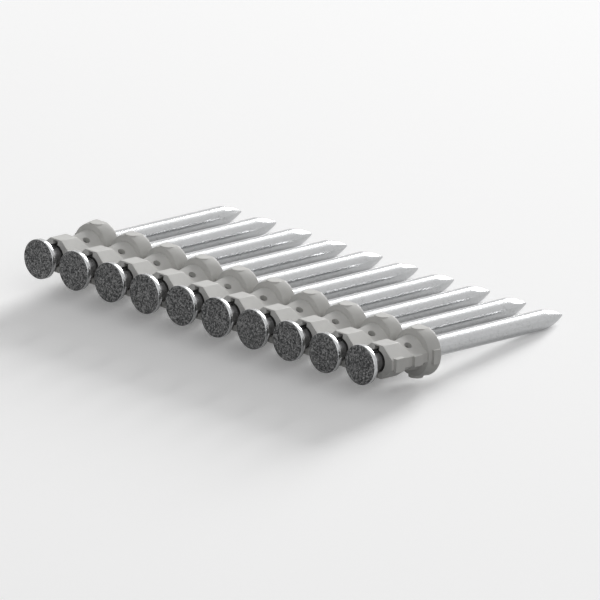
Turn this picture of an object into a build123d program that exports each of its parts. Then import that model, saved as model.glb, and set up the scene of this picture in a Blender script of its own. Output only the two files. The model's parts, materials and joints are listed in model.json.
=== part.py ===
"""Strip of ten collated concrete nails, in millimetres, +Z up, lying as it comes to rest.

Each unit is drawn in the strip's own frame: X along the row, Y from the head's face to the tip,
Z up. The strip is then tipped about X until the collars' rear edges and the tips share one floor.
"""
import math
import os

from build123d import *

# Row
nail_count = 10
nail_pitch = 7.3

# Nail
nail_length = 42.5
shank_diameter = 3.05
head_diameter = 6.0
head_thickness = 0.8
head_edge_radius = 0.22
head_neck_radius = 0.35
point_length = 4.2
point_flat_diameter = 0.3
point_bulge = 0.2

# Bore of each collar
grip_clearance = 0.03
front_bore_diameter = 3.5
front_bore_depth = 2.1

# Front block of each collar, an octagon with a sloping rear
block_front = 3.5
block_length = 3.4
block_half_height = 2.52
block_top_half_width = 1.16
block_side_half_height = 0.72
block_edge_radius = 0.12
collar_gap = 0.9
slot_width = 0.9
slot_depth = 1.2
slot_roof = 0.2

# Neck between block and ring, with its sloping shoulders and side walls
neck_diameter = 4.64
neck_length = 3.25
neck_fillet = 0.6
side_wall_half_height = 0.82

# Windows that show the shank
window_diameter = 1.6
window_angle = 42.0
window_setback = 1.1

# Ring
ring_diameter = 7.64
ring_length = 2.85
ring_step = 1.35
ring_front_radius = 0.6
ring_rear_radius = 0.1
pad_diameter = 2.5
pad_rise = 0.07

# Tabs that join the collars, and stand out at both ends
front_tab_setback = 0.4
front_tab_length = 1.8
front_tab_half_height = 1.02
middle_tab_setback = 0.85
middle_tab_length = 1.75
middle_tab_half_height = 0.98
rear_tab_setback = 0.15
rear_tab_length = 1.35
rear_tab_half_height = 1.08
tab_edge_radius = 0.12
end_tab_stand = 0.5
end_ring_stand = 0.13

block_side = (nail_pitch - collar_gap) / 2
block_rear = block_front + block_length
grip_start = block_front + front_bore_depth
ring_front = block_rear + neck_length
ring_rear = ring_front + ring_length


def centres():
    """The nails' places along the row."""
    return [(i - (nail_count - 1) / 2) * nail_pitch for i in range(nail_count)]


def nail():
    """One nail, turned about Y: head, shank and an ogive point."""
    head = head_diameter / 2
    shank = shank_diameter / 2
    tip = point_flat_diameter / 2
    point_start = nail_length - point_length
    side = ((shank + tip) / 2 + point_bulge, point_start + point_length / 2)
    with BuildSketch(Plane.XY) as profile:
        with BuildLine():
            Line((0, 0), (head - head_edge_radius, 0))
            RadiusArc((head - head_edge_radius, 0), (head, head_edge_radius), -head_edge_radius)
            Polyline((head, head_edge_radius), (head, head_thickness),
                     (shank + head_neck_radius, head_thickness))
            RadiusArc((shank + head_neck_radius, head_thickness),
                      (shank, head_thickness + head_neck_radius), head_neck_radius)
            Line((shank, head_thickness + head_neck_radius), (shank, point_start))
            ThreePointArc((shank, point_start), side, (tip, nail_length))
            Polyline((tip, nail_length), (0, nail_length), (0, 0))
        make_face()
    return revolve(profile.sketch, Axis.Y).solid()


def prism(points, start, end):
    """A prism along Y from a closed outline of X, Z points."""
    plane = Plane(origin=(0, end, 0), x_dir=(1, 0, 0), z_dir=(0, -1, 0))
    with BuildSketch(plane) as sketch:
        Polygon(*points, align=None)
    return extrude(sketch.sketch, end - start)


def mirrored_outline(points):
    """An outline closed from its upper right quarter, listed from the top down."""
    right = points + [(x, -z) for x, z in reversed(points)]
    return right + [(-x, z) for x, z in reversed(right)]


def front_block():
    """The octagonal block with its rear sloping away and its long edges eased."""
    slope_end = block_rear + block_half_height - block_side_half_height
    block = prism(mirrored_outline([(block_top_half_width, block_half_height),
                                    (block_side, block_side_half_height)]),
                  block_front, slope_end)
    side = Plane(origin=(-block_side, 0, 0), x_dir=(0, 1, 0), z_dir=(1, 0, 0))
    with BuildSketch(side) as sketch:
        Polygon((block_front, block_half_height), (block_rear, block_half_height),
                (slope_end, block_side_half_height), (slope_end, -block_side_half_height),
                (block_rear, -block_half_height), (block_front, -block_half_height), align=None)
    block = block & extrude(sketch.sketch, 2 * block_side)
    long_edges = block.edges().filter_by(Axis.Y)
    front_edges = block.faces().sort_by(Axis.Y)[0].edges()
    return fillet(long_edges + front_edges, block_edge_radius)


def ring_and_neck():
    """The ring and the neck that sweeps up to its front, turned about Y in one profile."""
    ring = ring_diameter / 2
    neck = neck_diameter / 2
    sweep = ring - ring_step
    with BuildSketch(Plane.XY) as profile:
        with BuildLine():
            Polyline((0, grip_start), (neck, grip_start), (neck, block_rear),
                     (sweep, ring_front - neck_fillet))
            RadiusArc((sweep, ring_front - neck_fillet), (sweep + neck_fillet, ring_front),
                      neck_fillet)
            Line((sweep + neck_fillet, ring_front), (ring - ring_front_radius, ring_front))
            RadiusArc((ring - ring_front_radius, ring_front),
                      (ring, ring_front + ring_front_radius), -ring_front_radius)
            Polyline((ring, ring_front + ring_front_radius), (ring, ring_rear - ring_rear_radius),
                     (ring - ring_rear_radius, ring_rear), (0, ring_rear), (0, grip_start))
        make_face()
    return revolve(profile.sketch, Axis.Y)


def shoulders():
    """The side walls, and the shoulders that slope up from them to touch the round neck."""
    neck = neck_diameter / 2
    reach = math.hypot(block_side, side_wall_half_height)
    touch = math.atan2(side_wall_half_height, block_side) + math.acos(neck / reach)
    outline = mirrored_outline([(neck * math.cos(touch), neck * math.sin(touch)),
                                (block_side, side_wall_half_height)])
    return prism(outline, grip_start, ring_front + ring_front_radius)


def tab_spans():
    """Front, rear and half height of the three tabs on each side of a collar."""
    front = block_front + front_tab_setback
    middle = block_rear + middle_tab_setback
    rear = ring_rear - rear_tab_setback
    return [(front, front + front_tab_length, front_tab_half_height),
            (middle, middle + middle_tab_length, middle_tab_half_height),
            (rear - rear_tab_length, rear, rear_tab_half_height)]


def tab(span, inner, outer):
    """One tab from an inner to an outer place along X, with its long edges eased."""
    front, rear, half_height = span
    body = Box(outer - inner, rear - front, 2 * half_height)
    body = fillet(body.edges().filter_by(Axis.X), tab_edge_radius)
    return body.moved(Location(((inner + outer) / 2, (front + rear) / 2, 0)))


def pads():
    """The two round flats that the mould leaves on the ring, above and below."""
    height = ring_diameter + 2 * pad_rise
    return Pos(0, (ring_front + ring_rear) / 2, 0) * Cylinder(pad_diameter / 2, height)


def bore():
    """The stepped bore: open round the shank in front, a close fit behind."""
    grip = shank_diameter / 2 + grip_clearance
    wide = front_bore_diameter / 2
    with BuildSketch(Plane.XY) as profile:
        with BuildLine():
            Polyline((0, block_front), (wide, block_front), (wide, grip_start),
                     (grip, grip_start + wide - grip), (grip, ring_rear), (0, ring_rear),
                     (0, block_front))
        make_face()
    return revolve(profile.sketch, Axis.Y)


def slots():
    """The weakening slots above and below the shank in the block's front."""
    height = block_half_height - slot_roof
    return Pos(0, block_front + slot_depth / 2, 0) * Box(slot_width, slot_depth, 2 * height)


def windows():
    """Round windows through the neck on both sides, above and below."""
    cutter = Cylinder(window_diameter / 2, 2 * ring_diameter)
    cut = Pos(0, block_rear + window_setback, 0) * Rot(0, window_angle, 0) * cutter
    return cut + mirror(cut, Plane.YZ)


def collar():
    """One collar of the carrier, centred on its nail, with its tabs out to the next collar's."""
    body = front_block() + ring_and_neck() + shoulders() + pads()
    for span in tab_spans():
        body += tab(span, -nail_pitch / 2, nail_pitch / 2)
    return body - bore() - slots() - windows()


def end_tabs():
    """The tabs that stand out where the row ends, on the right of the last collar."""
    ring = ring_diameter / 2
    front, middle, rear = tab_spans()
    inner = nail_pitch / 2 - collar_gap / 2
    return [tab(front, inner, block_side + end_tab_stand),
            tab(middle, inner, block_side + end_tab_stand),
            tab(rear, inner, ring + end_ring_stand)]


def collation_strip():
    """All the collars in one moulding, with the tabs standing out at both ends."""
    one = collar()
    places = centres()
    strip = one.moved(Location((places[0], 0, 0)))
    for x in places[1:]:
        strip = strip + one.moved(Location((x, 0, 0)))
    for stub in end_tabs():
        last = stub.moved(Location((places[-1], 0, 0)))
        strip = strip + last + mirror(last, Plane.YZ)
    return strip.solid()


def pieces():
    """Every piece by name, in the strip's own frame."""
    one = nail()
    made = {f"nail_{i + 1:02d}": one.moved(Location((x, 0, 0))) for i, x in enumerate(centres())}
    made["collation_strip"] = collation_strip()
    return made


def rest_place(shapes):
    """The tilt that sets rings and tips on one floor, and the shift to the row's frame."""
    rise = ring_diameter / 2 - point_flat_diameter / 2
    run = nail_length - (ring_rear - ring_rear_radius)
    turn = Location((0, 0, 0), (-math.degrees(math.atan2(rise, run)), 0, 0))
    box = Compound([shape.moved(turn) for shape in shapes]).bounding_box()
    return Location((0, -(box.min.Y + box.max.Y) / 2, -box.min.Z)) * turn


named = pieces()
place = rest_place(named.values())
os.makedirs("parts", exist_ok=True)
for name, solid in named.items():
    export_step(solid.moved(place), f"parts/{name}.step")
print("place", place)
print("strip volume", round(named["collation_strip"].volume, 2))
print("strip faces", len(named["collation_strip"].faces()))
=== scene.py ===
import json
import math

import bmesh
import bpy
import numpy as np
from bpy.props import FloatProperty, FloatVectorProperty, IntProperty, PointerProperty
from bpy.types import Operator, Panel, PropertyGroup
from mathutils import Matrix, Vector


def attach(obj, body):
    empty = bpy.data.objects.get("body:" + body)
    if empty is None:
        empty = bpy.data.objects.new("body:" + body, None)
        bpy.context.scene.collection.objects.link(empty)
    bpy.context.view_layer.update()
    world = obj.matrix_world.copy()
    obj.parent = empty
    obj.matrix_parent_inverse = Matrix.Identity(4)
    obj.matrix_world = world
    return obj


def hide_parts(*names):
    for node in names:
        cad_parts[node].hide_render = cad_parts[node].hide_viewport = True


bl_info = {
    "name": "Collated concrete nails",
    "version": (1, 0, 0),
    "blender": (4, 5, 0),
    "location": "3D View > Sidebar > Nails",
    "description": "Dresses a strip of collated concrete nails and sets the stage for it",
    "category": "Object",
}

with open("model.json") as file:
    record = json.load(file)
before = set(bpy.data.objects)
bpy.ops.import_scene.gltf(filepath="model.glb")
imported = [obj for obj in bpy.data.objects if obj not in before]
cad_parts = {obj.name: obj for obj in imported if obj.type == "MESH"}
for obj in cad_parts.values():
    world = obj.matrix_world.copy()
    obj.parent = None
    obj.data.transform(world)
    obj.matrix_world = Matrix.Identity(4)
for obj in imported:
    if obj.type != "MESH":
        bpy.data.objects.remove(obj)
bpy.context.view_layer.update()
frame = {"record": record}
MM = 0.001

# Points nearer to each other than this are one point, in metres
MERGE = 1e-7

# Rows of the nail's surface along its face, each of its small curves, its shank and its point
FACE_ROWS = 14
CURVE_ROWS = 8
SHANK_ROWS = 60
POINT_ROWS = 32

# The face's first row as a share of its radius, and the break of the edge behind the head
FACE_START = 0.06
RIM_BREAK = 0.04 * MM

# The share of the face's edge that has the face's material: its near-black painted shade and its grain
FACE_SHADE_SHARE = 0.35

# Fewest flats on a point and one more than the most, and the form of each flat
FLAT_COUNTS = (4, 6)
FLAT_RUN = 1.12
FLAT_FULLNESS = 0.8
FLAT_SHARPNESS = 6

# Steps along the neck, over its arcs, down its shoulders, round a corner, round a window and over
# an eased edge of the block
NECK_ROWS = 28
ARC_STEPS = 40
SHOULDER_STEPS = 6
CORNER_STEPS = 6
WINDOW_STEPS = 48
BEVEL_STEPS = 3

# Longest step along the ring's profile, and where its end faces start as a share of the radius
RING_STEP = 0.3 * MM
CAP_START = 0.3

# Cells of the fine grain for one of the coarse grain
FINE_PER_COARSE = 2.7

# How far the plastic's clouds are darker and lighter than its colour
CLOUD_SHADES = (0.95, 1.05)

# Sockets of the Mix node: two numbers, two colours and the mixed colour
MIX_NUMBERS = (2, 3)
MIX_COLOURS = (6, 7)
MIXED_COLOUR = 2

# The camera's sensor in millimetres, and the nearest and furthest that it sees in metres
SENSOR = 36.0
CLIP = (0.05, 20)


def nail_axes():
    """Each nail's number, the middle of its head's face and its axis, from the record's mounts."""
    prefix = "head_"
    return [(mount["name"].removeprefix(prefix), Vector(mount["pos_m"]), -Vector(mount["axis"]))
            for mount in frame["record"]["mounts"] if mount["name"].startswith(prefix)]


def length_setting(name, description, millimetres):
    """A length that the user can set."""
    return FloatProperty(name=name, description=description, default=millimetres * MM,
                         unit="LENGTH")


def tab_setting(name, description, millimetres):
    """A tab's setback, length and half height, which the user can set."""
    return FloatVectorProperty(name=name, description=description, size=3, unit="LENGTH",
                               default=tuple(value * MM for value in millimetres))


def angle_setting(name, description, degrees):
    """An angle that the user can set."""
    return FloatProperty(name=name, description=description, default=math.radians(degrees),
                         unit="ROTATION")


def metres_setting(name, description, metres):
    """A length on the stage that the user can set."""
    return FloatProperty(name=name, description=description, default=metres, unit="LENGTH")


def place_setting(name, description, place):
    """A place on the stage that the user can set."""
    return FloatVectorProperty(name=name, description=description, default=place, size=3,
                               subtype="TRANSLATION", unit="LENGTH")


def colour_setting(name, description, colour):
    """A colour that the user can set."""
    return FloatVectorProperty(name=name, description=description, default=colour, size=3,
                               subtype="COLOR", min=0, max=1)


def range_setting(name, description, ends):
    """Two ends of a range between 0 and 1, which the user can set."""
    return FloatVectorProperty(name=name, description=description, default=ends, size=2, min=0,
                               max=1)


def light_setting(name, description, strength):
    """The strength of a light, which the user can set."""
    return FloatProperty(name=name, description=description, default=strength, min=0)


def steps_setting(name, description, steps):
    """The number of steps round a piece, which the user can set."""
    return IntProperty(name=name, description=description, default=steps, min=24)


class NailSizes(PropertyGroup):
    length: length_setting("Length", "From the head's face to the tip", 42.5)
    shank: length_setting("Shank diameter", "Diameter of the shank", 3.05)
    head: length_setting("Head diameter", "Diameter of the head", 6.0)
    head_thickness: length_setting("Head thickness", "Thickness of the head", 0.8)
    edge: length_setting("Head edge", "Radius of the edge round the head's face", 0.22)
    fillet: length_setting("Neck fillet", "Radius between head and shank", 0.35)
    point: length_setting("Point length", "Length of the point", 4.2)
    bulge: length_setting("Point bulge", "How far the point's side bows outwards", 0.2)
    tip: length_setting("Tip diameter", "Diameter of the blunt end of the point", 0.3)
    flats: length_setting("Flats", "Depth of the flats that cutting leaves on the point", 0.06)
    sides: steps_setting("Steps round", "Steps round the nail", 96)


# The nails' finish together with painted shade: the head's near-black face and the darker shank behind
# the head
class NailFinishAndShade(PropertyGroup):
    zinc: colour_setting("Zinc", "Colour of the plating", (0.47, 0.475, 0.48))
    dull_zinc: colour_setting("Dull zinc", "Colour of the plating's spots", (0.38, 0.385, 0.39))
    spots: length_setting("Spots", "Size of the dull spots", 0.5)
    spot_range: range_setting("Spot range", "Where the spots' grain turns to bright zinc", (0.30, 0.50))
    zinc_rough: range_setting("Zinc roughness", "Of the dull spots and of bright zinc", (0.30, 0.22))
    unevenness: length_setting("Unevenness", "Size of the zinc's fine unevenness", 0.22)
    # Painted shade and dark reflection: the head's face is coloured near black; its bright grain is the
    # die's
    head_face_painted_shade: colour_setting("Head face", "Colour of the head's face", (0.03, 0.031, 0.032))
    head_grain: colour_setting("Head grain", "Colour of the face's bright grain", (0.30, 0.30, 0.30))
    grain: length_setting("Grain", "Size of the grain on the head's face", 0.34)
    grain_range: range_setting("Grain range", "Where the face's grain starts and is full", (0.44, 0.70))
    face_rough: FloatProperty(name="Face roughness", description="Roughness of the head's face",
                              default=0.5, min=0, max=1)
    # Painted shade and dark reflection on the shank between head and carrier: its colour, where it starts
    # and ends, and how it rises and falls
    shank_painted_shade: colour_setting("Dark steel", "Colour of the thinly plated steel between head and carrier",
                               (0.26, 0.26, 0.265))
    dark_from: length_setting("Dark from", "Where the thin plating starts behind the face", 0.9)
    dark_to: length_setting("Dark to", "Where the plating has its full colour again", 4.5)
    dark_rise: FloatProperty(name="Dark rise", description="Where the thin plating is full, as a "
                             "share of where it starts", default=1.1, min=1)
    dark_fall: FloatProperty(name="Dark fall", description="Where the full plating starts to come "
                             "back, as a share of where it is back", default=0.8, min=0, max=1)


class CarrierSizes(PropertyGroup):
    pitch: length_setting("Pitch", "From one nail to the next", 7.3)
    gap: length_setting("Gap", "Between one collar's side and the next", 0.9)
    grip: length_setting("Grip diameter", "Bore that grips the shank", 3.11)
    mouth: length_setting("Mouth diameter", "Bore round the shank in the block", 3.5)
    mouth_depth: length_setting("Mouth depth", "How far the wider bore reaches in", 2.1)
    block_front: length_setting("Block front", "From the head's face to the block", 3.5)
    block_length: length_setting("Block length", "Length of the block's top", 3.25)
    block_run: length_setting("Block run", "How far the block's rear slopes back", 1.25)
    block_height: length_setting("Block height", "Half the height of the block", 2.52)
    block_top: length_setting("Block top", "Half the width of the block's top", 1.16)
    block_corner: length_setting("Block corner", "Half the height of the block's side", 0.72)
    block_edge: length_setting("Block edge", "How far the block's edges are eased", 0.09)
    slot_width: length_setting("Slot width", "Width of the slots that let the collar break", 0.9)
    slot_depth: length_setting("Slot depth", "Depth of the slots from the block's front", 1.2)
    slot_roof: length_setting("Slot roof", "Plastic left over each slot", 0.2)
    neck_length: length_setting("Neck length", "From the block to the ring", 3.9)
    neck_start: length_setting("Neck start", "Radius of the neck inside the block", 1.725)
    neck_end: length_setting("Neck end", "Radius of the neck inside the ring", 2.71)
    neck_side: length_setting("Neck side", "Half the height of the neck's side walls", 0.7)
    window: length_setting("Window", "Diameter of the windows that show the shank", 1.1)
    window_setback: length_setting("Window setback", "From the block to the windows' middle", 1.8)
    window_angle: angle_setting("Window angle", "Lean of the windows from upright", 38)
    ring: length_setting("Ring radius", "Radius of the ring at its rear", 3.8)
    ring_front: length_setting("Ring front", "Radius of the ring at its front rim", 3.45)
    ring_length: length_setting("Ring length", "Length of the ring", 2.55)
    ring_lean: length_setting("Ring lean", "How far the ring's front leans back", 0.25)
    ring_bow: length_setting("Ring bow", "How far the ring's side bows outwards", 0.06)
    ring_edge: length_setting("Ring edge", "Radius of the ring's rims", 0.12)
    flat: length_setting("Flat", "Height of the flat on the ring over the nail's axis", 3.6)
    foot: length_setting("Foot", "Depth of the round foot under the nail's axis", 3.88)
    pad: length_setting("Pad", "Radius of the round pad on the ring and of its foot", 1.1)
    pad_edge: length_setting("Pad edge", "Radius of the edges of pad and foot", 0.07)
    front_tab: tab_setting("Front tab", "Setback behind the block's front, length and half height",
                           (0.4, 1.8, 1.02))
    middle_tab: tab_setting("Middle tab", "Setback behind the block's top, length and half height",
                            (1.0, 1.75, 0.78))
    rear_tab: tab_setting("Rear tab", "Setback before the ring's rear, length and half height",
                          (0.35, 1.35, 1.08))
    tab_edge: length_setting("Tab edge", "Radius of the tabs' long edges", 0.12)
    tab_stand: length_setting("Tab stand", "How far the tabs stand out where the row ends", 0.5)
    rear_stand: length_setting("Rear stand", "How far the rear tab stands out of the last ring", 0.13)
    sides: steps_setting("Steps round", "Steps round each collar", 96)


class CarrierFinish(PropertyGroup):
    plastic: colour_setting("Plastic", "Colour of the moulded carrier", (0.60, 0.595, 0.575))
    clouds: length_setting("Clouds", "Size of the faint clouds in the plastic", 2.5)
    cloud_range: range_setting("Cloud range", "Where the clouds go from dark to light", (0.3, 0.7))
    texture: length_setting("Texture", "Size of the die's fine texture", 0.09)
    roughness: range_setting("Roughness", "Of the dark and of the light clouds", (0.42, 0.52))
    gloss: FloatProperty(name="Gloss", description="Strength of the plastic's reflections",
                         default=0.35, min=0, max=1)
    smooth_angle: angle_setting("Smooth angle", "Edges flatter than this are shaded round", 32)


class StageLook(PropertyGroup):
    floor: colour_setting("Floor", "Colour of the floor as it is seen", (1.0, 1.0, 1.0))
    bounce: colour_setting("Bounce", "Colour of the light that the floor throws back up",
                           (0.25, 0.25, 0.25))
    glow: light_setting("Glow", "Light that the seen floor gives off, where 1 is white", 0.15)
    floor_reach: metres_setting("Floor reach", "Half the width of the floor", 1.5)
    sky: light_setting("Sky", "Strength of the even light from all round", 0.30)
    key: light_setting("Key", "Power in watts of the softbox behind the points", 24.0)
    key_width: metres_setting("Key width", "Width of the softbox behind the points", 0.6)
    key_place: place_setting("Key place", "Where the key softbox stands", (-0.36, 1.38, 0.49))
    fill: light_setting("Fill", "Power in watts of the softbox on the right", 2.6)
    fill_width: metres_setting("Fill width", "Width of the softbox on the right", 1.2)
    fill_place: place_setting("Fill place", "Where the fill softbox hangs", (0.92, -0.15, 0.70))


class CameraPlace(PropertyGroup):
    azimuth: angle_setting("Azimuth", "Turn round the object from its front", 45.1105)
    elevation: angle_setting("Elevation", "Height above the horizon", 21.5654)
    roll: angle_setting("Roll", "Turn about the line of sight", -2.1802)
    distance: metres_setting("Distance", "From the point looked at", 2.33997)
    look_at: place_setting("Look at", "Point in the picture's middle", (0.00085, -0.000591, 0.002021))
    lens: FloatProperty(name="Lens", description="Focal length in millimetres", default=960.0,
                        min=1)


def linked_object(name, data):
    """A new object for a mesh, lamp or camera, in the scene."""
    made = bpy.data.objects.new(name, data)
    bpy.context.scene.collection.objects.link(made)
    return made


def mesh_object(name, vertices, faces, uv=None, face_slots=None):
    """A smooth mesh object at the origin from an array of points and lists of point numbers."""
    mesh = bpy.data.meshes.new(name)
    mesh.from_pydata(vertices.tolist(), [], faces)
    if uv is not None:
        layer = mesh.uv_layers.new(name="along")
        layer.data.foreach_set("uv", uv.ravel().astype(np.float32))
    if face_slots is not None:
        mesh.polygons.foreach_set("material_index", face_slots.astype(np.int32))
    mesh.polygons.foreach_set("use_smooth", np.ones(len(faces), dtype=bool))
    mesh.validate()
    mesh.update()
    return linked_object(name, mesh)


def band_faces(rows, columns):
    """Four-sided faces between neighbouring rows of points, where each row is a closed ring.

    The point in row i and column j has the number i times the columns plus j.
    """
    i = np.arange(rows - 1)[:, None] * columns
    j = np.arange(columns)[None, :]
    k = (j + 1) % columns
    return np.stack([i + j, i + k, i + columns + k, i + columns + j], axis=-1).reshape(-1, 4)


def arc(centre, radius, start, end, steps):
    """Points on a circle: centre plus radius times cosine and sine of evenly spaced angles."""
    turn = np.linspace(start, end, steps)
    return np.column_stack([centre[0] + radius * np.cos(turn), centre[1] + radius * np.sin(turn)])


def nail_profile(size):
    """The nail's outline as rows of radius and distance from the head's face.

    A straight face, a quarter circle at its edge, a straight rim, a quarter circle into the
    shank, the straight shank, and a point whose side is the straight taper plus a bow: the bulge
    times four times s times one minus s, with s running from 0 to 1 along the point.
    """
    head, shank, tip = size.head / 2, size.shank / 2, size.tip / 2
    face = np.column_stack([np.linspace(FACE_START, 1, FACE_ROWS) * (head - size.edge),
                            np.zeros(FACE_ROWS)])
    edge = arc((head - size.edge, size.edge), size.edge, -math.pi / 2, 0, CURVE_ROWS)
    rim = np.array([[head, size.head_thickness - RIM_BREAK], [head - RIM_BREAK, size.head_thickness]])
    shank_start = size.head_thickness + size.fillet
    neck = arc((shank + size.fillet, shank_start), size.fillet, -math.pi / 2, -math.pi, CURVE_ROWS)
    point_start = size.length - size.point
    straight = np.column_stack([np.full(SHANK_ROWS, shank),
                                np.linspace(shank_start, point_start, SHANK_ROWS + 1)[1:]])
    s = np.linspace(0, 1, POINT_ROWS + 1)[1:]
    point = np.column_stack([shank + (tip - shank) * s + 4 * size.bulge * s * (1 - s),
                             point_start + size.point * s])
    return np.vstack([face, edge[1:], rim, neck, straight, point])


def nail_radii(rows, turns, size, seed):
    """The nail's radius at each row and turn: the profile's, less a few flats round the point.

    A flat's depth is the full depth times a hump along the point, which is a power of the sine of
    half a turn, times the sixth power of a cosine wave round the nail, so that the side stays round
    between the flats. Every nail has its flats turned differently.
    """
    rng = np.random.default_rng(seed)
    phase = rng.uniform(0, 2 * math.pi)
    count = int(rng.integers(*FLAT_COUNTS))
    s = np.clip((rows[:, 1] - size.length + size.point) / size.point, 0, 1)[:, None]
    hump = np.sin(math.pi * np.clip(s * FLAT_RUN, 0, 1)) ** FLAT_FULLNESS
    wave = np.abs(np.cos(count * (turns + phase) / 2))[None, :] ** FLAT_SHARPNESS
    return rows[:, :1] - size.flats * hump * wave


def nail_map(along, sides):
    """The nail's map, one corner of a face after the other.

    It goes from 0 to 1 once round the nail, and from 0 at the head's face to 1 at the tip. The
    faces that close the two ends are at 0 and at 1.
    """
    turn = np.arange(sides + 1) / sides
    corners = np.empty((len(along) - 1, sides, 4, 2))
    corners[..., 0] = np.stack([turn[:-1], turn[1:], turn[1:], turn[:-1]], axis=-1)
    corners[..., 1] = np.stack([along[:-1], along[:-1], along[1:], along[1:]], axis=-1)[:, None]
    ends = np.zeros((2, sides, 3, 2))
    ends[..., 0] = turn[:-1, None]
    ends[1, ..., 1] = 1
    return np.vstack([corners.reshape(-1, 2), ends.reshape(-1, 2)])


def nail_surface(name, start, axis, size, seed):
    """One nail: its profile turned round its axis and closed by a fan of faces at each end.

    A point is the middle of the head's face, plus its distance times the axis, plus its radius
    times the cosine of its turn along the row and the sine of its turn across it.
    """
    rows = nail_profile(size)
    count, sides = len(rows), size.sides
    turns = np.linspace(0, 2 * math.pi, sides, endpoint=False)
    along, side = axis.normalized(), Vector((1, 0, 0))
    across = side.cross(along).normalized()
    start, along = np.array(start), np.array(along)
    spokes = np.cos(turns)[:, None] * np.array(side) + np.sin(turns)[:, None] * np.array(across)
    radii = nail_radii(rows, turns, size, seed)[..., None]
    points = start + rows[:, 1, None, None] * along + radii * spokes
    points = np.vstack([points.reshape(-1, 3), start, start + size.length * along])
    first = np.arange(sides)
    second = (first + 1) % sides
    last_row, centre = (count - 1) * sides, count * sides
    front = np.column_stack([np.full(sides, centre), second, first])
    back = np.column_stack([np.full(sides, centre + 1), last_row + first, last_row + second])
    faces = band_faces(count, sides).tolist() + front.tolist() + back.tolist()
    on_face = np.repeat(rows[:-1, 1] < size.edge * FACE_SHADE_SHARE, sides)
    slots = np.concatenate([on_face, np.ones(sides, bool), np.zeros(sides, bool)])
    return mesh_object(name, points, faces, nail_map(rows[:, 1] / size.length, sides), slots)


def eased(corners, radii, step=math.inf):
    """An open outline with its corners rounded and its straight runs divided.

    At a corner with a turn of angle t and a radius r the arc starts r times tan(t/2) before the
    corner. At an angle a it has gone r times sin(a) on along the run, and r times one minus cos(a)
    to the corner's inner side. Straight runs get points no further apart than the step.
    """
    corners = np.asarray(corners, float)
    rows = [corners[:1]]
    for before, corner, after, radius in zip(corners, corners[1:], corners[2:], radii):
        into, out = corner - before, after - corner
        into, out = into / np.linalg.norm(into), out / np.linalg.norm(out)
        turn = math.atan2(into[0] * out[1] - into[1] * out[0], into @ out)
        start = corner - into * radius * math.tan(abs(turn) / 2)
        inward = math.copysign(1, turn) * np.array((-into[1], into[0]))
        angles = np.linspace(0, abs(turn), CORNER_STEPS if radius else 1)[:, None]
        rows.append(start + radius * (np.sin(angles) * into + (1 - np.cos(angles)) * inward))
    rows = np.vstack([*rows, corners[-1:]])
    lengths = np.linalg.norm(np.diff(rows, axis=0), axis=1)
    runs = [np.linspace(first, last, max(1, math.ceil(length / step)) + 1)[1:]
            for first, last, length in zip(rows, rows[1:], lengths)]
    return np.vstack([rows[:1], *runs])


def closed_solid(name, outlines, caps=None):
    """A closed solid from outlines of as many points each, one after the other.

    Neighbouring outlines are joined by four-sided faces, and the first and last are closed by one
    face each, or by the lists of point numbers that caps gives. Its normals are turned outwards.
    The solids are in millimetres until they are fused, which keeps their cuts exact.
    """
    outlines = np.asarray(outlines, float) / MM
    count, n = outlines.shape[:2]
    last = (count - 1) * n
    faces = band_faces(count, n).tolist() + (caps or [list(range(n)), list(range(last, last + n))])
    mesh = bpy.data.meshes.new(name)
    mesh.from_pydata(outlines.reshape(-1, 3).tolist(), [], faces)
    work = bmesh.new()
    work.from_mesh(mesh)
    bmesh.ops.recalc_face_normals(work, faces=work.faces)
    work.to_mesh(mesh)
    work.free()
    return linked_object(name, mesh)


def prism(name, outline, start, end, caps=None):
    """A closed solid along Y: an outline of X, Z points at the start and again at the end.

    Each end is one place for all the points, or a place for each.
    """
    outline = np.asarray(outline, float)
    ends = [np.column_stack([outline[:, 0], np.full(len(outline), y), outline[:, 1]])
            for y in (start, end)]
    return closed_solid(name, ends, caps)


def turned_solid(name, rows, sides, tilt=None, middle=(0, 0, 0)):
    """A closed solid of revolution from rows of radius and distance along its axis.

    Its points are radius times cosine, distance, and radius times sine of the turn. With a tilt the
    axis, which is Y otherwise, stands up along Z and leans by that angle about Y.
    """
    turns = np.linspace(0, 2 * math.pi, sides, endpoint=False)
    rows = np.asarray(rows, float)
    points = np.stack([rows[:, :1] * np.cos(turns), np.repeat(rows[:, 1:], sides, axis=1),
                       rows[:, :1] * np.sin(turns)], axis=-1)
    if tilt is not None:
        x, axis, y = points[..., 0], points[..., 1], points[..., 2]
        points = np.stack([x * math.cos(tilt) + axis * math.sin(tilt), y,
                           axis * math.cos(tilt) - x * math.sin(tilt)], axis=-1)
    return closed_solid(name, points + np.array(middle))


def fused(base, others, operation):
    """The base after a boolean with each of the others, which are used up."""
    for other in others:
        change = base.modifiers.new(operation.lower(), "BOOLEAN")
        change.operation = operation
        change.object = other
        change.solver = "MANIFOLD"
    view = bpy.context.evaluated_depsgraph_get()
    mesh = bpy.data.meshes.new_from_object(base.evaluated_get(view))
    base.modifiers.clear()
    base.data = mesh
    for other in others:
        bpy.data.objects.remove(other)
    return base


def collar_side(s):
    """Half the width of a collar, between its gaps."""
    return (s.pitch - s.gap) / 2


def block_rear(s):
    """From the head's face to the rear of the block's top."""
    return s.block_front + s.block_length


def ring_start(s):
    """From the head's face to the ring's front."""
    return block_rear(s) + s.neck_length


def ring_end(s):
    """From the head's face to the ring's rear."""
    return ring_start(s) + s.ring_length


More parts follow.
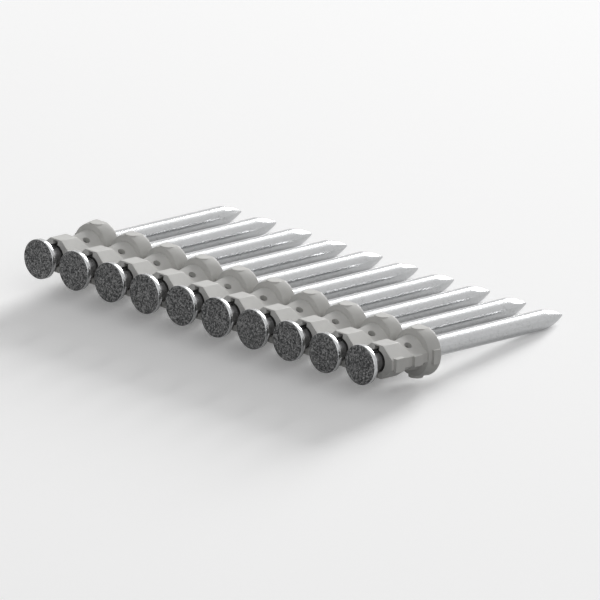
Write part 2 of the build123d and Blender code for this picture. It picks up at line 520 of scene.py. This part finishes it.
def block_solid(s):
    """The block: an octagon in front, and the same octagon behind.

    Behind, its four upper and lower corners lie at the rear of the block's top, and its four side
    corners lie further back by the block's run, so that the rear slopes. All edges are eased.
    """
    side = collar_side(s)
    right = [(s.block_top, s.block_height), (side, s.block_corner), (side, -s.block_corner),
             (s.block_top, -s.block_height)]
    outline = np.array(right + [(-x, z) for x, z in reversed(right)])
    on_side = np.abs(outline[:, 0]) > s.block_top
    rear_slopes = [[8, 9, 14, 15], [9, 10, 13, 14], [10, 11, 12, 13]]
    piece = prism("block", outline, s.block_front, block_rear(s) + s.block_run * on_side,
                  [list(range(8)), *rear_slopes])
    easing = piece.modifiers.new("easing", "BEVEL")
    easing.width = s.block_edge / MM
    easing.segments = BEVEL_STEPS
    return fused(piece, [], "UNION")


def neck_solid(s):
    """The neck: at each place an arc above and below, with shoulders down to the side walls.

    The arc's radius grows evenly from the block to the ring. A shoulder through the side wall's
    corner, at distance c and angle b from the axis, touches the arc of radius r at the angle b
    plus arccos(r / c), and its points are shared out evenly from there to the corner.
    """
    side = collar_side(s)
    start = s.block_front + s.mouth_depth
    end = ring_start(s) + s.ring_lean + s.ring_edge
    reach, corner = math.hypot(side, s.neck_side), math.atan2(s.neck_side, side)
    share = np.linspace(0, 1, NECK_ROWS)[:, None]
    radius = s.neck_start + (s.neck_end - s.neck_start) * share
    touch = corner + np.arccos(radius / reach)
    turn = touch + (math.pi - 2 * touch) * np.linspace(0, 1, ARC_STEPS)[None, :]
    arc_x, arc_z = radius * np.cos(turn), radius * np.sin(turn)
    fall = np.linspace(0, 1, SHOULDER_STEPS + 1)[1:][None, :]
    left_x = arc_x[:, -1:] + (-side - arc_x[:, -1:]) * fall
    left_z = arc_z[:, -1:] + (s.neck_side - arc_z[:, -1:]) * fall
    upper_x = np.hstack([-left_x[:, ::-1], arc_x, left_x])
    upper_z = np.hstack([left_z[:, ::-1], arc_z, left_z])
    x = np.hstack([upper_x, -upper_x])
    z = np.hstack([upper_z, -upper_z])
    y = np.repeat(start + (end - start) * share, x.shape[1], axis=1)
    return closed_solid("neck", np.stack([x, y, z], axis=-1))


def ring_solid(s):
    """The ring: a profile with a leaning front and rounded rims, turned about Y.

    Between its rims the side bows outwards by the bow times the sine of half a turn. Over the nail
    it is cut off flat.
    """
    front, rear = ring_start(s), ring_end(s)
    rim = front + s.ring_lean
    cap = CAP_START * s.ring
    rows = eased([(cap, front), (s.neck_end, front), (s.ring_front, rim), (s.ring, rear), (cap, rear)],
                 (0, s.ring_edge, s.ring_edge), RING_STEP)
    along = np.clip((rows[:, 1] - rim) / (rear - rim), 0, 1)
    rows[:, 0] += s.ring_bow * np.sin(math.pi * along)
    reach = 2 * s.ring
    below = prism("flat", [(-reach, -reach), (reach, -reach), (reach, s.flat), (-reach, s.flat)],
                  0, 2 * rear)
    return fused(turned_solid("ring", rows, s.sides), [below], "INTERSECT")


def pad_solid(s):
    """The round pad on the ring and its foot: one upright cylinder with rounded edges."""
    ring_middle = (ring_start(s) + s.ring_lean + ring_end(s)) / 2
    cap = CAP_START * s.pad
    rows = eased([(cap, -s.foot), (s.pad, -s.foot), (s.pad, s.flat), (cap, s.flat)],
                 (s.pad_edge, s.pad_edge))
    return turned_solid("pad", rows, s.sides, tilt=0, middle=(0, ring_middle, 0))


def tab_places(s):
    """Front, length and half height of the three tabs on each side of a collar."""
    front, middle, rear = s.front_tab, s.middle_tab, s.rear_tab
    return [(s.block_front + front[0], front[1], front[2]),
            (block_rear(s) + middle[0], middle[1], middle[2]),
            (ring_end(s) - rear[0] - rear[1], rear[1], rear[2])]


def tab_solid(s, front, run, half_height, inner, outer):
    """One tab along X: a rectangle in Y and Z with rounded corners, begun in its upper side."""
    rear, middle = front + run, front + run / 2
    corners = [(middle, half_height), (front, half_height), (front, -half_height),
               (rear, -half_height), (rear, half_height), (middle, half_height)]
    rows = eased(corners, (s.tab_edge,) * 4)[:-1]
    ends = [np.column_stack([np.full(len(rows), x), rows]) for x in (inner, outer)]
    return closed_solid("tab", ends)


def cutters(s):
    """What is cut out of a collar: the stepped bore, the slots and the two slanting windows."""
    past = 2 * ring_end(s)
    grip_start = s.block_front + s.mouth_depth
    step = (s.mouth - s.grip) / 2
    bore = turned_solid("bore", [(s.mouth / 2, 0), (s.mouth / 2, grip_start),
                                 (s.grip / 2, grip_start + step), (s.grip / 2, past)], s.sides)
    half, height = s.slot_width / 2, s.block_height - s.slot_roof
    slots = prism("slots", [(-half, -height), (half, -height), (half, height), (-half, height)],
                  0, s.block_front + s.slot_depth)
    hole = [(s.window / 2, -2 * s.ring), (s.window / 2, 2 * s.ring)]
    windows = [turned_solid("window", hole, WINDOW_STEPS, tilt=side * s.window_angle,
                            middle=(0, block_rear(s) + s.window_setback, 0)) for side in (1, -1)]
    return [bore, slots, *windows]


def collar_solid(s, reaches):
    """One collar about the origin, with three tabs on each side.

    On the left they end in the middle of the gap, and on the right at the three reaches.
    """
    tabs = [tab_solid(s, *place, -s.pitch / 2, reach)
            for place, reach in zip(tab_places(s), reaches)]
    body = fused(block_solid(s), [neck_solid(s), ring_solid(s), pad_solid(s), *tabs], "UNION")
    return fused(body, cutters(s), "DIFFERENCE")


def open_collar(s, reaches):
    """A collar's points in metres, and its faces as arrays of point numbers.

    The end faces of its tabs that meet the next collar's, half a pitch from the middle, are left
    out.
    """
    collar = collar_solid(s, reaches)
    mesh = collar.data
    points = np.empty(len(mesh.vertices) * 3, np.float32)
    mesh.vertices.foreach_get("co", points)
    points = points.reshape(-1, 3).astype(float) * MM
    corners = np.empty(len(mesh.loops), np.int32)
    mesh.loops.foreach_get("vertex_index", corners)
    starts = np.empty(len(mesh.polygons), np.int32)
    mesh.polygons.foreach_get("loop_start", starts)
    meets = np.abs(np.abs(points[:, 0]) - s.pitch / 2) < MERGE
    inside = np.logical_and.reduceat(meets[corners], starts)
    faces = np.split(corners, starts[1:])
    bpy.data.objects.remove(collar)
    return points, [face for face, hidden in zip(faces, inside) if not hidden]


def carrier_piece(s):
    """The strip: a collar for each nail, set out along the row and merged where the tabs meet.

    A collar's point (x, y, z) goes to the head face's middle plus x along the row, y along the
    nail and z along their cross product. The last collar, mirrored, is also the first.
    """
    axes = nail_axes()
    along = np.array(axes[0][2])
    turn = np.array([(1, 0, 0), along, np.cross((1, 0, 0), along)])
    stand = collar_side(s) + s.tab_stand
    inner = open_collar(s, (s.pitch / 2,) * 3)
    last = open_collar(s, (stand, stand, s.ring + s.rear_stand))
    first = (last[0] * (-1, 1, 1), [face[::-1] for face in last[1]])
    collars = [first] + [inner] * (len(axes) - 2) + [last]
    points = [places @ turn + np.array(start)
              for (places, _), (_, start, _) in zip(collars, axes)]
    shifts = np.cumsum([0] + [len(places) for places in points])
    numbers = [(face + shift).tolist() for (_, faces), shift in zip(collars, shifts)
               for face in faces]
    mesh = bpy.data.meshes.new("carrier_look")
    mesh.from_pydata(np.vstack(points).tolist(), [], numbers)
    work = bmesh.new()
    work.from_mesh(mesh)
    bmesh.ops.remove_doubles(work, verts=work.verts, dist=MERGE)
    work.to_mesh(mesh)
    work.free()
    return linked_object("carrier_look", mesh)


def number_node(nodes, links, operation, first, second):
    """The result of a Math node on two outputs, where the second may be a number."""
    node = nodes.new("ShaderNodeMath")
    node.operation = operation
    links.new(first, node.inputs[0])
    if isinstance(second, bpy.types.NodeSocket):
        links.new(second, node.inputs[1])
    else:
        node.inputs[1].default_value = second
    return node.outputs[0]


def spread_node(nodes, links, value, start, end, low=0.0, high=1.0):
    """A value that runs from low to high as the given one goes from start to end."""
    node = nodes.new("ShaderNodeMapRange")
    ends = {"From Min": start, "From Max": end, "To Min": low, "To Max": high}
    for label, number in ends.items():
        node.inputs[label].default_value = number
    links.new(value, node.inputs["Value"])
    return node.outputs[0]


def colour_node(nodes, links, share, first, second):
    """A colour that runs from first to second as the share goes from 0 to 1."""
    node = nodes.new("ShaderNodeMix")
    node.data_type = "RGBA"
    links.new(share, node.inputs["Factor"])
    for number, colour in zip(MIX_COLOURS, (first, second)):
        if isinstance(colour, bpy.types.NodeSocket):
            links.new(colour, node.inputs[number])
        else:
            node.inputs[number].default_value = (*colour, 1)
    return node.outputs[MIXED_COLOUR]


def grain_group():
    """The grain that the finishes share, made once: coarse noise mixed with fine cells.

    Both lie on Object coordinates. The noise's scale is one over the size, the mask is the mix of
    both by the fine share, and the normal is bumped by the mask times the size times the depth.
    """
    group = bpy.data.node_groups.get("fine_grain")
    if group:
        return group
    group = bpy.data.node_groups.new("fine_grain", "ShaderNodeTree")
    for label, value in (("Size", 0.2 * MM), ("Depth", 0.3), ("Fine share", 0.4)):
        socket = group.interface.new_socket(name=label, in_out="INPUT", socket_type="NodeSocketFloat")
        socket.default_value = value
    group.interface.new_socket(name="Mask", in_out="OUTPUT", socket_type="NodeSocketFloat")
    group.interface.new_socket(name="Normal", in_out="OUTPUT", socket_type="NodeSocketVector")
    nodes, links = group.nodes, group.links
    inside, outside = nodes.new("NodeGroupInput"), nodes.new("NodeGroupOutput")
    where = nodes.new("ShaderNodeTexCoord")
    scale = number_node(nodes, links, "POWER", inside.outputs["Size"], -1.0)
    coarse = nodes.new("ShaderNodeTexNoise")
    coarse.inputs["Detail"].default_value = 3
    coarse.inputs["Roughness"].default_value = 0.6
    links.new(where.outputs["Object"], coarse.inputs["Vector"])
    links.new(scale, coarse.inputs["Scale"])
    fine = nodes.new("ShaderNodeTexVoronoi")
    links.new(where.outputs["Object"], fine.inputs["Vector"])
    links.new(number_node(nodes, links, "MULTIPLY", scale, FINE_PER_COARSE), fine.inputs["Scale"])
    blend = nodes.new("ShaderNodeMix")
    links.new(inside.outputs["Fine share"], blend.inputs["Factor"])
    for number, grain in zip(MIX_NUMBERS, (coarse.outputs["Fac"], fine.outputs["Distance"])):
        links.new(grain, blend.inputs[number])
    mask = blend.outputs[0]
    reach = number_node(nodes, links, "MULTIPLY", inside.outputs["Size"], inside.outputs["Depth"])
    bump = nodes.new("ShaderNodeBump")
    bump.inputs["Distance"].default_value = 1.0
    links.new(number_node(nodes, links, "MULTIPLY", mask, reach), bump.inputs["Height"])
    links.new(mask, outside.inputs["Mask"])
    links.new(bump.outputs[0], outside.inputs["Normal"])
    return group


def grain_node(nodes, size, depth, fine_share):
    """The shared grain in a material, with its own size, depth and share of fine cells."""
    node = nodes.new("ShaderNodeGroup")
    node.node_tree = grain_group()
    for label, value in (("Size", size), ("Depth", depth), ("Fine share", fine_share)):
        node.inputs[label].default_value = value
    return node


def blank_material(name):
    """A material, its nodes, its links and its Principled shader."""
    material = bpy.data.materials.new(name)
    material.use_nodes = True
    nodes = material.node_tree.nodes
    return material, nodes, material.node_tree.links, nodes["Principled BSDF"]


def painted_shade_behind_head(nodes, links, finish, sizes):
    """A mask of painted shade and dark reflection along the nail: 1 from behind the head to inside the
    carrier, 0 elsewhere.

    The nail's map runs from 0 at the head's face to 1 at the tip. The mask is the product of a step
    up where the painted shade starts and a slow fall to where it ends.
    """
    where, parts = nodes.new("ShaderNodeUVMap"), nodes.new("ShaderNodeSeparateXYZ")
    where.uv_map = "along"
    links.new(where.outputs[0], parts.inputs[0])
    along = parts.outputs[1]
    start, end = finish.dark_from / sizes.length, finish.dark_to / sizes.length
    rise = spread_node(nodes, links, along, start, start * finish.dark_rise)
    fall = spread_node(nodes, links, along, end, end * finish.dark_fall)
    return number_node(nodes, links, "MULTIPLY", rise, fall)


def zinc_and_shade_material(finish, sizes):
    """Bright zinc on steel: a few dull spots, a very fine unevenness, and painted shade and dark
    reflection behind the head.
    """
    material, nodes, links, shader = blank_material("zinc_and_painted_shade")
    shader.inputs["Metallic"].default_value = 1.0
    spots = grain_node(nodes, finish.spots, depth=0.01, fine_share=0.3)
    skin = grain_node(nodes, finish.unevenness, depth=0.012, fine_share=0.5)
    bright = spread_node(nodes, links, spots.outputs["Mask"], *finish.spot_range)
    plating = colour_node(nodes, links, bright, finish.dull_zinc, finish.zinc)
    # Painted shade and dark reflection: the shank behind the head turns to a darker colour
    dark = painted_shade_behind_head(nodes, links, finish, sizes)
    links.new(colour_node(nodes, links, dark, plating, finish.shank_painted_shade),
              shader.inputs["Base Color"])
    links.new(spread_node(nodes, links, bright, 0, 1, *finish.zinc_rough),
              shader.inputs["Roughness"])
    links.new(skin.outputs["Normal"], shader.inputs["Normal"])
    return material


def head_material(finish):
    """The head's face: metal coloured near black as painted shade and dark reflection, with the bright
    grain that the die leaves.
    """
    material, nodes, links, shader = blank_material("head_face_painted_shade")
    shader.inputs["Metallic"].default_value = 1.0
    shader.inputs["Roughness"].default_value = finish.face_rough
    skin = grain_node(nodes, finish.grain, depth=0.35, fine_share=0.35)
    bright = spread_node(nodes, links, skin.outputs["Mask"], *finish.grain_range)
    links.new(colour_node(nodes, links, bright, finish.head_face_painted_shade, finish.head_grain),
              shader.inputs["Base Color"])
    links.new(skin.outputs["Normal"], shader.inputs["Normal"])
    return material


def carrier_material(finish):
    """Satin moulded plastic with faint clouds and the die's fine texture."""
    material, nodes, links, shader = blank_material("carrier_plastic")
    shader.inputs["Specular IOR Level"].default_value = finish.gloss
    clouds = grain_node(nodes, finish.clouds, depth=0.004, fine_share=0.1)
    skin = grain_node(nodes, finish.texture, depth=0.06, fine_share=0.5)
    light = spread_node(nodes, links, clouds.outputs["Mask"], *finish.cloud_range)
    shades = [tuple(min(1.0, shade * c) for c in finish.plastic) for shade in CLOUD_SHADES]
    links.new(colour_node(nodes, links, light, *shades), shader.inputs["Base Color"])
    links.new(spread_node(nodes, links, light, 0, 1, *finish.roughness), shader.inputs["Roughness"])
    links.new(skin.outputs["Normal"], shader.inputs["Normal"])
    return material


class NAILS_OT_nails(Operator):
    """Turns every nail from its profile, with the point's flats and the head's grain"""
    bl_idname = "nails.nails"
    bl_label = "Nails"

    def execute(self, context):
        sizes, finish = context.scene.nail_sizes, context.scene.nail_finish
        zinc = zinc_and_shade_material(finish, sizes)
        face = head_material(finish)
        for number, start, axis in nail_axes():
            piece = nail_surface(f"nail_look_{number}", start, axis, sizes, int(number))
            piece.data.materials.append(zinc)
            piece.data.materials.append(face)
            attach(piece, "root")
            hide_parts(f"nail_{number}")
        return {"FINISHED"}


class NAILS_OT_carrier(Operator):
    """Moulds the carrier: ten collars with their windows, flats and tabs, fused into one strip"""
    bl_idname = "nails.carrier"
    bl_label = "Carrier"

    def execute(self, context):
        finish = context.scene.carrier_finish
        piece = carrier_piece(context.scene.carrier_sizes)
        mesh = piece.data
        mesh.polygons.foreach_set("use_smooth", np.ones(len(mesh.polygons), dtype=bool))
        mesh.set_sharp_from_angle(angle=finish.smooth_angle)
        mesh.materials.append(carrier_material(finish))
        flats = piece.modifiers.new("flats_stay_flat", "WEIGHTED_NORMAL")
        flats.keep_sharp = True
        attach(piece, "root")
        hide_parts("collation_strip")
        return {"FINISHED"}


def seen_or_lit(nodes, links, seen, lit):
    """A colour that is seen by rays from the camera, metal and glass, and lit for the others."""
    path = nodes.new("ShaderNodeLightPath").outputs
    either = number_node(nodes, links, "MAXIMUM", path["Is Camera Ray"], path["Is Glossy Ray"])
    any_of = number_node(nodes, links, "MAXIMUM", either, path["Is Transmission Ray"])
    return colour_node(nodes, links, any_of, lit, seen)


def floor_material(look):
    """Matt pale paper, which glows a little as it is seen and throws back less light."""
    material, nodes, links, shader = blank_material("floor_paper")
    links.new(seen_or_lit(nodes, links, look.floor, look.bounce), shader.inputs["Base Color"])
    links.new(seen_or_lit(nodes, links, (look.glow,) * 3, (0, 0, 0)),
              shader.inputs["Emission Color"])
    shader.inputs["Emission Strength"].default_value = 1.0
    shader.inputs["Roughness"].default_value = 0.9
    shader.inputs["Specular IOR Level"].default_value = 0.1
    return material


def even_sky(look):
    """A world that is seen white and lights the strip evenly from all round."""
    world = bpy.data.worlds.new("even_sky")
    world.use_nodes = True
    nodes, links = world.node_tree.nodes, world.node_tree.links
    links.new(seen_or_lit(nodes, links, (1, 1, 1), (look.sky,) * 3),
              nodes["Background"].inputs["Color"])
    return world


def softbox(name, power, width, place):
    """A square softbox that faces the strip."""
    lamp = bpy.data.lights.new(name, "AREA")
    lamp.shape = "SQUARE"
    lamp.size = width
    lamp.energy = power
    holder = linked_object(name, lamp)
    holder.location = place
    holder.rotation_mode = "QUATERNION"
    holder.rotation_quaternion = (-Vector(place)).to_track_quat("-Z", "Y")


class NAILS_OT_stage(Operator):
    """Lays the pale floor and sets the two softboxes and the even sky"""
    bl_idname = "nails.stage"
    bl_label = "Stage"

    def execute(self, context):
        scene = context.scene
        look = scene.stage_look
        r = look.floor_reach
        corners = np.array([(-r, -r, 0), (r, -r, 0), (r, r, 0), (-r, r, 0)])
        floor = mesh_object("floor", corners, [(0, 1, 2, 3)])
        floor.data.materials.append(floor_material(look))
        scene.world = even_sky(look)
        softbox("key", look.key, look.key_width, look.key_place)
        softbox("fill", look.fill, look.fill_width, look.fill_place)
        scene.view_settings.view_transform = "Standard"
        return {"FINISHED"}


class NAILS_OT_camera(Operator):
    """Sets the camera at the photograph's angle, far off with a long lens"""
    bl_idname = "nails.camera"
    bl_label = "Camera"

    def execute(self, context):
        place = context.scene.camera_place
        a, e = place.azimuth, place.elevation
        back = Vector((math.sin(a) * math.cos(e), -math.cos(a) * math.cos(e), math.sin(e)))
        level = Vector((math.cos(a), math.sin(a), 0))
        right = Matrix.Rotation(place.roll, 3, back) @ level
        data = bpy.data.cameras.new("camera")
        data.sensor_width = SENSOR
        data.lens = place.lens
        data.clip_start, data.clip_end = CLIP
        camera = linked_object("camera", data)
        camera.location = Vector(place.look_at) + back * place.distance
        camera.rotation_mode = "QUATERNION"
        view = Matrix((right, back.cross(right), back)).transposed()
        camera.rotation_quaternion = view.to_quaternion()
        context.scene.camera = camera
        return {"FINISHED"}


class NAILS_PT_panel(Panel):
    """Sizes, colours and the steps that build the strip's look"""
    bl_idname = "NAILS_PT_panel"
    bl_label = "Collated nails"
    bl_space_type = "VIEW_3D"
    bl_region_type = "UI"
    bl_category = "Nails"

    def draw(self, context):
        for step in STEPS:
            self.layout.operator(step.bl_idname)
        for name in SETTINGS:
            box = self.layout.box()
            group = getattr(context.scene, name)
            for key in group.bl_rna.properties.keys():
                if key not in ("rna_type", "name"):
                    box.prop(group, key)


SETTINGS = {"nail_sizes": NailSizes, "nail_finish": NailFinishAndShade, "carrier_sizes": CarrierSizes,
            "carrier_finish": CarrierFinish, "stage_look": StageLook, "camera_place": CameraPlace}
STEPS = (NAILS_OT_stage, NAILS_OT_camera, NAILS_OT_nails, NAILS_OT_carrier)
CLASSES = (*SETTINGS.values(), *STEPS, NAILS_PT_panel)


def register():
    for made in CLASSES:
        bpy.utils.register_class(made)
    for name, group in SETTINGS.items():
        setattr(bpy.types.Scene, name, PointerProperty(type=group))


def unregister():
    for name in SETTINGS:
        delattr(bpy.types.Scene, name)
    for made in reversed(CLASSES):
        bpy.utils.unregister_class(made)


def main():
    """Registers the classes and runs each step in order."""
    register()
    bpy.ops.nails.stage()
    bpy.ops.nails.camera()
    bpy.ops.nails.nails()
    bpy.ops.nails.carrier()


if __name__ == "__main__":
    main()
